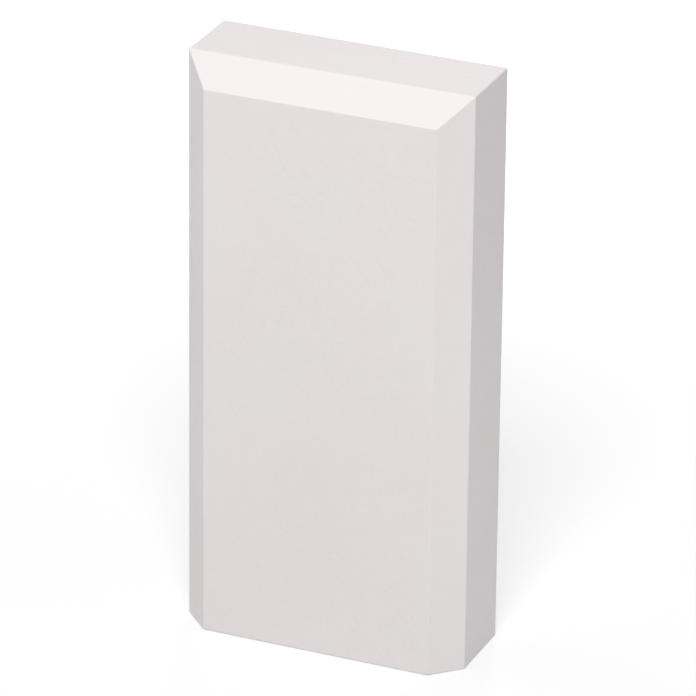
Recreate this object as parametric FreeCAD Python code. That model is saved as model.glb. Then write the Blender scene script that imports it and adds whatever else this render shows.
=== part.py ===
import FreeCAD, Part
import math
import os

# Plinth block, moulded in one piece: the thick block that stands on the floor at the foot of a door
# casing. The casing lands on its top and the skirting butts against its sides, so the top, sides, back
# and bottom are flat and square. Only the face towards the room is bevelled, along its two sides and
# its top, where the bevels meet in mitres. Every arris is eased.
# X runs along the wall, Y from the room to the wall and Z up. The origin is the middle of the bottom.

# Driving dimensions, in millimetres
WIDTH = 95.0  # along the wall
HEIGHT = 194.0  # from the floor to the casing's seat
DEPTH = 35.0  # from the wall to the face
BEVEL_LEG = 9.0  # of the 45 degree bevels, the same across the face and into the depth
ARRIS_RADIUS = 0.5  # of the easing on every arris

OFFSET_TOLERANCE = 0.0001
ROUND_JOINS = 0


def prism(outline, sweep):
    """Solid swept from a closed outline, given as its corners, along one vector."""
    corners = [FreeCAD.Vector(*corner) for corner in outline]
    return Part.Face(Part.makePolygon(corners + corners[:1])).extrude(FreeCAD.Vector(*sweep))


def sharp_block(width, height, depth, bevel_leg, floor):
    """Block with sharp arrises, standing at the height floor.

    It is what the plan, swept upwards, and the end elevation, swept along the wall, have in common:
    the plan holds the two side bevels and the end elevation the top bevel.
    """
    side = width / 2
    wall = depth / 2
    face = -depth / 2
    top = floor + height
    plan = prism(
        [
            (-side, wall, floor),
            (-side, face + bevel_leg, floor),
            (-side + bevel_leg, face, floor),
            (side - bevel_leg, face, floor),
            (side, face + bevel_leg, floor),
            (side, wall, floor),
        ],
        (0, 0, height),
    )
    end_elevation = prism(
        [
            (-side, wall, floor),
            (-side, face, floor),
            (-side, face, top - bevel_leg),
            (-side, face + bevel_leg, top),
            (-side, wall, top),
        ],
        (width, 0, 0),
    )
    return plan.common(end_elevation).Solids[0]


def plinth_block():
    """Block with every arris rounded as by a ball rolled along its inside.

    The sharp core has each face drawn in by the radius along its own normal, which shortens the legs of
    the 45 degree bevels by 2 minus root 2 radii. Grown back by the radius with round joins, the faces
    return to their places and the arrises come out round.
    """
    core = sharp_block(
        WIDTH - 2 * ARRIS_RADIUS,
        HEIGHT - 2 * ARRIS_RADIUS,
        DEPTH - 2 * ARRIS_RADIUS,
        BEVEL_LEG - (2 - math.sqrt(2)) * ARRIS_RADIUS,
        ARRIS_RADIUS,
    )
    return core.makeOffsetShape(ARRIS_RADIUS, OFFSET_TOLERANCE, join=ROUND_JOINS)


os.makedirs("parts", exist_ok=True)
plinth_block().exportStep("parts/plinth_block.step")
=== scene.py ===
import math

import bpy
import numpy as np
from mathutils import Matrix, Vector


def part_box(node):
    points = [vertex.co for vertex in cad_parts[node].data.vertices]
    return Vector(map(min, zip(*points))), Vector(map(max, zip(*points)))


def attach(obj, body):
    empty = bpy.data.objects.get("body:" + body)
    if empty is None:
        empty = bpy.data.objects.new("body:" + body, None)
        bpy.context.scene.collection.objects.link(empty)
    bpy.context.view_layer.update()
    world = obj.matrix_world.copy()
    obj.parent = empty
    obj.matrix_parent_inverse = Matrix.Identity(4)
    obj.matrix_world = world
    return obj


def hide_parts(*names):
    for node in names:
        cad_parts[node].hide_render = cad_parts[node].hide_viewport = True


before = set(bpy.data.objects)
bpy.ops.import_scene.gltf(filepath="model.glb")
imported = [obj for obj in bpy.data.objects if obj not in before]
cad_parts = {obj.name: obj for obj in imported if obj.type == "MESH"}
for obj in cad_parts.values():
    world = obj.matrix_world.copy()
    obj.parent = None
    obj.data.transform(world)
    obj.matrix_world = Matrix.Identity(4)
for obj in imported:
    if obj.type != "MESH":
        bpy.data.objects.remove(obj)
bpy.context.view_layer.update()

scene = bpy.context.scene
scene.view_settings.view_transform = "Standard"


# The block: one polyurethane moulding, cast solid and flat on all sides but its face, where 45 degree
# bevels run up both sides and across the top and meet in mitres. The mould leaves its arrises eased, and
# it comes from the factory with a sprayed coat of off-white primer, ready to paint.
low, high = (np.array(corner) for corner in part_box("plinth_block"))
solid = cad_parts["plinth_block"].data
solid_points = np.empty(3 * len(solid.vertices), np.float32)
solid.vertices.foreach_get("co", solid_points)
solid_points = solid_points.reshape(-1, 3)
flat_tolerance = 1e-6
bottom_flat = solid_points[np.isclose(solid_points[:, 2], low[2], atol=flat_tolerance)]
face_flat = solid_points[np.isclose(solid_points[:, 1], low[1], atol=flat_tolerance)]
# A flat stops short of an arris by the radius times the tangent of half the arris's turn, which is 90
# degrees at the bottom and 45 degrees at the foot of a bevel
arris_radius = high[0] - bottom_flat[:, 0].max()
bevel_turn = math.radians(45)
bevel_leg = high[0] - face_flat[:, 0].max() - arris_radius * math.tan(bevel_turn / 2)
# Grid lines are far apart on the flats, fine on the bevels for the mitres across them, and finest where
# the arrises are eased
flat_spacing = 0.012
bevel_spacing = arris_radius / 2
easing_reach = 1.2 * arris_radius
easing_lines = 7


def grid_lines(arrises, spacings):
    """Grid lines over a row of arrises: close together beside each arris, evenly spaced between them."""
    beside = np.linspace(0, easing_reach, easing_lines)[:-1]
    stretches = []
    for start, end, spacing in zip(arrises[:-1], arrises[1:], spacings):
        between = np.linspace(start + easing_reach, end - easing_reach, 1 + round((end - start) / spacing))
        stretches += [start + beside, between, end - beside]
    return np.unique(np.concatenate(stretches))


def closed_box_grid(across, deep, up):
    """Grid over the six sides of a box: each point's three coordinates, and quads wound to face outwards.

    A quad is split from its first corner to its third. Those left of the middle start one corner later, so
    that on both sides the splits at the top of the face rise outwards, as the mitres do.
    """
    index = np.arange(len(across) * len(deep) * len(up)).reshape(len(across), len(deep), len(up))
    sides = [index[-1], index[0].T, index[:, 0], index[:, -1].T, index[:, :, -1], index[:, :, 0].T]
    quads = np.concatenate(
        [np.stack([s[:-1, :-1], s[1:, :-1], s[1:, 1:], s[:-1, 1:]], axis=-1).reshape(-1, 4) for s in sides]
    )
    used, quads = np.unique(quads, return_inverse=True)
    quads = quads.reshape(-1, 4)
    i, j, k = np.unravel_index(used, index.shape)
    leftward = across[i][quads].mean(axis=1) < 0
    quads[leftward] = np.roll(quads[leftward], 1, axis=1)
    return across[i], deep[j], up[k], quads


def bevelled(across, deep, up):
    """Sharp block from a box grid whose depth runs from 0 at the face to 1 at the back.

    The face lies behind its plane by as much as a point is past the foot of a side bevel or of the top
    bevel, whichever is more, and the depth's lines are spread from there to the back.
    """
    past_side = np.abs(across) - (high[0] - bevel_leg)
    past_top = up - (high[2] - bevel_leg)
    face = low[1] + np.maximum(0, np.maximum(past_side, past_top))
    return np.stack([across, face + deep * (high[1] - face), up], axis=1)


def eased(points):
    """Points of the sharp block pulled onto a ball of the arris radius rolled round its inside.

    The ball's centre keeps to a core, the block with every face drawn in by the radius, so that a bevel's
    leg there is shorter by 2 minus the root of 2 radii. A point's ball is the one centred on the core's
    nearest point: its depth is where the squared distance is least, found by halving the interval, and its
    other two coordinates are clipped to the core at that depth. The point moves along its ball's radius to
    the surface, and that radius is the surface's normal.
    """
    core_low = low + arris_radius
    core_high = high - arris_radius
    core_leg = bevel_leg - (2 - math.sqrt(2)) * arris_radius
    halvings = 40
    x, y, z = points.T
    near = np.zeros(len(points))
    far = np.full(len(points), core_high[1] - core_low[1])
    for _ in range(halvings):
        depth = (near + far) / 2
        cut = np.maximum(core_leg - depth, 0)
        beyond = np.maximum(np.abs(x) - core_high[0] + cut, 0) + np.maximum(z - core_high[2] + cut, 0)
        too_deep = depth - (y - core_low[1]) > beyond * (cut > 0)
        near, far = np.where(too_deep, near, depth), np.where(too_deep, depth, far)
    cut = np.maximum(core_leg - near, 0)
    centres = np.stack(
        [
            x.clip(core_low[0] + cut, core_high[0] - cut),
            core_low[1] + near,
            z.clip(core_low[2], core_high[2] - cut),
        ],
        axis=1,
    )
    normals = points - centres
    normals /= np.linalg.norm(normals, axis=1, keepdims=True)
    return centres + arris_radius * normals, normals


def linear(hex_colour):
    """Linear RGBA of an sRGB hex colour."""
    channels = np.array([int(hex_colour[i : i + 2], 16) for i in (1, 3, 5)]) / 255
    bright = ((channels + 0.055) / 1.055) ** 2.4
    return (*np.where(channels <= 0.04045, channels / 12.92, bright), 1.0)


def add_node(tree, kind, settings, links):
    """Adds a node, sets its properties and its sockets, and links sockets to other nodes' outputs."""
    node = tree.nodes.new(kind)
    for name, value in settings.items():
        if isinstance(name, int) or name in node.inputs:
            node.inputs[name].default_value = value
        else:
            setattr(node, name, value)
    for name, output in links.items():
        tree.links.new(output, node.inputs[name])
    return node


def sprayed_primer():
    """Matte off-white primer, sprayed on a moulded skin.

    It shows an even, faintly warm white with a soft sheen. Close up there is a low orange peel from the
    spray, a finer dry grain, and a little cloudiness where the coat is thinner. The real grain is a fifth
    of a millimetre, too fine to show, and is drawn as half a millimetre. Nearly all of a noise lies in the
    middle third of its range, so a bump's height is about three times the depth that it gives.
    """
    grain_mm, peel_mm, cloud_mm = 0.5, 2.2, 45
    grain_height_mm, peel_height_mm = 0.045, 0.08
    noise_low, noise_high = 0.35, 0.65
    thin_colour, full_colour = "#EAE3E4", "#EBE5E6"
    smooth_roughness, dry_roughness = 0.5, 0.62
    resin_ior = 1.5
    material = bpy.data.materials.new("sprayed_primer")
    material.use_nodes = True
    tree = material.node_tree
    tree.nodes.clear()
    place = add_node(tree, "ShaderNodeTexCoord", {}, {}).outputs["Object"]
    grain = add_node(tree, "ShaderNodeTexNoise", {"Scale": 1000 / grain_mm, "Detail": 2}, {"Vector": place})
    peel = add_node(tree, "ShaderNodeTexNoise", {"Scale": 1000 / peel_mm, "Detail": 1}, {"Vector": place})
    cloud = add_node(tree, "ShaderNodeTexNoise", {"Scale": 1000 / cloud_mm, "Detail": 3}, {"Vector": place})
    tint = add_node(tree, "ShaderNodeValToRGB", {}, {"Fac": cloud.outputs["Fac"]})
    tint.color_ramp.elements[0].position = noise_low
    tint.color_ramp.elements[0].color = linear(thin_colour)
    tint.color_ramp.elements[1].position = noise_high
    tint.color_ramp.elements[1].color = linear(full_colour)
    rough = add_node(
        tree,
        "ShaderNodeMapRange",
        {
            "From Min": noise_low,
            "From Max": noise_high,
            "To Min": smooth_roughness,
            "To Max": dry_roughness,
        },
        {"Value": peel.outputs["Fac"]},
    )
    peel_bump = add_node(
        tree, "ShaderNodeBump", {"Distance": peel_height_mm / 1000}, {"Height": peel.outputs["Fac"]}
    )
    grain_bump = add_node(
        tree,
        "ShaderNodeBump",
        {"Distance": grain_height_mm / 1000},
        {"Height": grain.outputs["Fac"], "Normal": peel_bump.outputs["Normal"]},
    )
    coat = add_node(
        tree,
        "ShaderNodeBsdfPrincipled",
        {"IOR": resin_ior},
        {
            "Base Color": tint.outputs["Color"],
            "Roughness": rough.outputs["Result"],
            "Normal": grain_bump.outputs["Normal"],
        },
    )
    add_node(tree, "ShaderNodeOutputMaterial", {}, {"Surface": coat.outputs["BSDF"]})
    return material


side_lines = grid_lines(
    [low[0], low[0] + bevel_leg, high[0] - bevel_leg, high[0]], [bevel_spacing, flat_spacing, bevel_spacing]
)
height_lines = grid_lines([low[2], high[2] - bevel_leg, high[2]], [flat_spacing, bevel_spacing])
side_depth = high[1] - low[1] - bevel_leg
depth_lines = grid_lines([0, side_depth], [flat_spacing]) / side_depth
*box_points, quads = closed_box_grid(side_lines, depth_lines, height_lines)
points, normals = eased(bevelled(*box_points))
mesh = bpy.data.meshes.new("moulded_block")
mesh.from_pydata(points.tolist(), [], quads.tolist())
mesh.shade_smooth()
mesh.normals_split_custom_set_from_vertices(normals.tolist())
mesh.materials.append(sprayed_primer())
block = bpy.data.objects.new("moulded_block", mesh)
scene.collection.objects.link(block)
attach(block, "root")
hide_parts("plinth_block")


# The floor: a plain sheet of pale matte paper that the block stands on. It takes the block's soft shadow,
# and what the camera and reflections see of it glows to white, less near the block: a painted shade round
# its foot.
floor_reach = 4.0
floor_colour = "#C4C4C4"
# Near the block the glow is lower than far off, which paints shade round its foot on top of its real shadow.
shadow_reach, white_reach = 0.05, 1.2
shadow_lift, white_lift = 0.44, 0.75
floor_mesh = bpy.data.meshes.new("floor")
floor_corners = floor_reach * np.array([[-1, -1, 0], [1, -1, 0], [1, 1, 0], [-1, 1, 0]])
floor_mesh.from_pydata(floor_corners.tolist(), [], [[0, 1, 2, 3]])
floor = bpy.data.objects.new("floor", floor_mesh)
scene.collection.objects.link(floor)


def seen_rays(tree):
    """Output that is 1 for rays from the camera, a reflection or a transmission, and 0 for lighting rays."""
    path = add_node(tree, "ShaderNodeLightPath", {}, {})
    mirrored = add_node(
        tree,
        "ShaderNodeMath",
        {"operation": "MAXIMUM"},
        {0: path.outputs["Is Glossy Ray"], 1: path.outputs["Is Transmission Ray"]},
    )
    seen = add_node(
        tree,
        "ShaderNodeMath",
        {"operation": "MAXIMUM"},
        {0: path.outputs["Is Camera Ray"], 1: mirrored.outputs["Value"]},
    )
    return seen.outputs["Value"]


paper = bpy.data.materials.new("matte_paper")
paper.use_nodes = True
tree = paper.node_tree
tree.nodes.clear()
spot = add_node(tree, "ShaderNodeTexCoord", {}, {}).outputs["Object"]
away = add_node(tree, "ShaderNodeVectorMath", {"operation": "LENGTH"}, {0: spot})
# Glow strength by distance from the block: lower close to it, a painted shade round its foot.
fade = add_node(
    tree,
    "ShaderNodeMapRange",
    {
        "interpolation_type": "SMOOTHSTEP",
        "From Min": shadow_reach,
        "From Max": white_reach,
        "To Min": shadow_lift,
        "To Max": white_lift,
    },
    {"Value": away.outputs["Value"]},
)
lift = add_node(
    tree, "ShaderNodeMath", {"operation": "MULTIPLY"}, {0: fade.outputs["Result"], 1: seen_rays(tree)}
)
glow = add_node(tree, "ShaderNodeEmission", {}, {"Strength": lift.outputs["Value"]})
matte = add_node(tree, "ShaderNodeBsdfDiffuse", {"Color": linear(floor_colour)}, {})
both = add_node(tree, "ShaderNodeAddShader", {}, {0: glow.outputs["Emission"], 1: matte.outputs["BSDF"]})
add_node(tree, "ShaderNodeOutputMaterial", {}, {"Surface": both.outputs["Shader"]})
floor_mesh.materials.append(paper)


# The light: a white room, a softbox above the camera, a weaker one on the block's left that keeps its left
# bevel from going dark, a small low one by the foot of its right side, narrowed to keep off the floor, and
# one behind it that keeps its back clear and puts a faint sheen on its top.
room_colour = "#FFFFFF"
room_level = 0.451
world = bpy.data.worlds.new("white_room")
world.use_nodes = True
scene.world = world
tree = world.node_tree
tree.nodes.clear()
level = add_node(
    tree, "ShaderNodeMapRange", {"To Min": room_level, "To Max": 1.0}, {"Value": seen_rays(tree)}
)
room = add_node(
    tree, "ShaderNodeBackground", {"Color": linear(room_colour)}, {"Strength": level.outputs["Result"]}
)
add_node(tree, "ShaderNodeOutputWorld", {}, {"Surface": room.outputs["Background"]})

block_middle = Vector((low + high) / 2)


def direction(azimuth, elevation):
    """Unit vector from the block: azimuth 0 is straight in front of its face, and positive to its right."""
    turn, rise = math.radians(azimuth), math.radians(elevation)
    return Vector((math.sin(turn) * math.cos(rise), -math.cos(turn) * math.cos(rise), math.sin(rise)))


def softbox(name, azimuth, elevation, distance, size, power, spread=180):
    """Square area lamp that faces the block's middle, shines over the angle spread and stays unseen."""
    lamp = bpy.data.lights.new(name, "AREA")
    lamp.size = size
    lamp.energy = power
    lamp.spread = math.radians(spread)
    holder = bpy.data.objects.new(name, lamp)
    holder.location = block_middle + distance * direction(azimuth, elevation)
    holder.rotation_euler = direction(azimuth, elevation).to_track_quat("Z", "Y").to_euler()
    holder.visible_camera = False
    scene.collection.objects.link(holder)


softbox("key_softbox", azimuth=18, elevation=48, distance=2.0, size=0.8, power=24.8)
softbox("side_softbox", azimuth=-90, elevation=30, distance=1.6, size=0.8, power=2.2)
softbox("low_softbox", azimuth=85, elevation=-15, distance=0.22, size=0.05, power=0.0068, spread=120)
softbox("back_softbox", azimuth=195, elevation=5, distance=0.8, size=0.18, power=2.4)


# The camera: a long lens about two metres off, to the block's right and above it, rolled a little. Its
# angles, distance and aim come from the block's own edges in the photograph.
photo_azimuth = 22.978
photo_elevation = 24.547
photo_roll = 0.622
photo_distance = 1.95122
photo_aim = Vector((0.00233, 0.00149, 0.09815))
sensor_width = 36
focal_length = 324.28

camera_data = bpy.data.cameras.new("camera")
camera_data.sensor_width = sensor_width
camera_data.lens = focal_length
camera = bpy.data.objects.new("camera", camera_data)
back = direction(photo_azimuth, photo_elevation)
upright = back.to_track_quat("Z", "Y").to_matrix().to_4x4()
camera.matrix_world = (
    Matrix.Translation(photo_aim + photo_distance * back)
    @ upright
    @ Matrix.Rotation(math.radians(photo_roll), 4, "Z")
)
scene.collection.objects.link(camera)
scene.camera = camera
